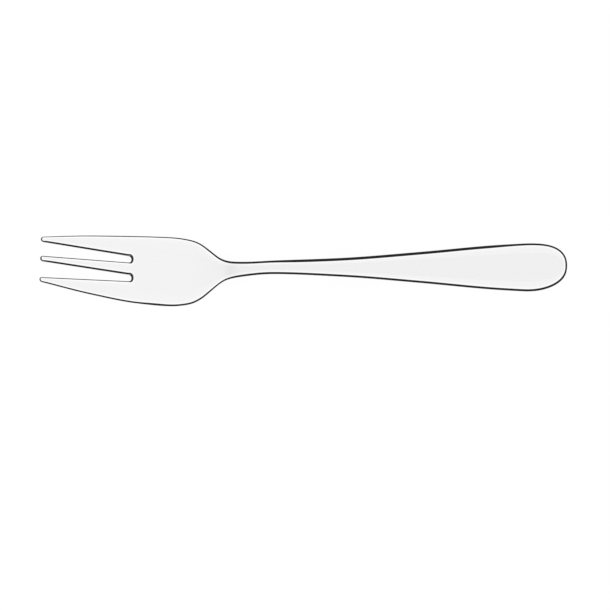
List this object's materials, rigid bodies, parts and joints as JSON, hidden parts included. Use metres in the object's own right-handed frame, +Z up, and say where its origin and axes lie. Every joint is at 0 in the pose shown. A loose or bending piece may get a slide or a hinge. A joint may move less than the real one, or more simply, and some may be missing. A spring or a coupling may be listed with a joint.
{
  "type": "pastry fork",
  "caption": "Pastry fork in polished steel with a wide cutting tine on one side, a slim arched neck and a flared handle with a round end.",
  "frame": {"origin": "on the table that the fork lies on, under the middle of its bounding box", "axes": "+X along the fork from the tips of the tines to the end of the handle, +Y towards the plain side, away from the wide cutting tine, +Z up from the table, which is the hollow side of the head"},
  "size_m": [0.15, 0.0202, 0.0116],
  "materials": {
    "polished_steel": "polished"
  },
  "bodies": {
    "root": {"fork": "polished_steel"}
  },
  "joints": []
}
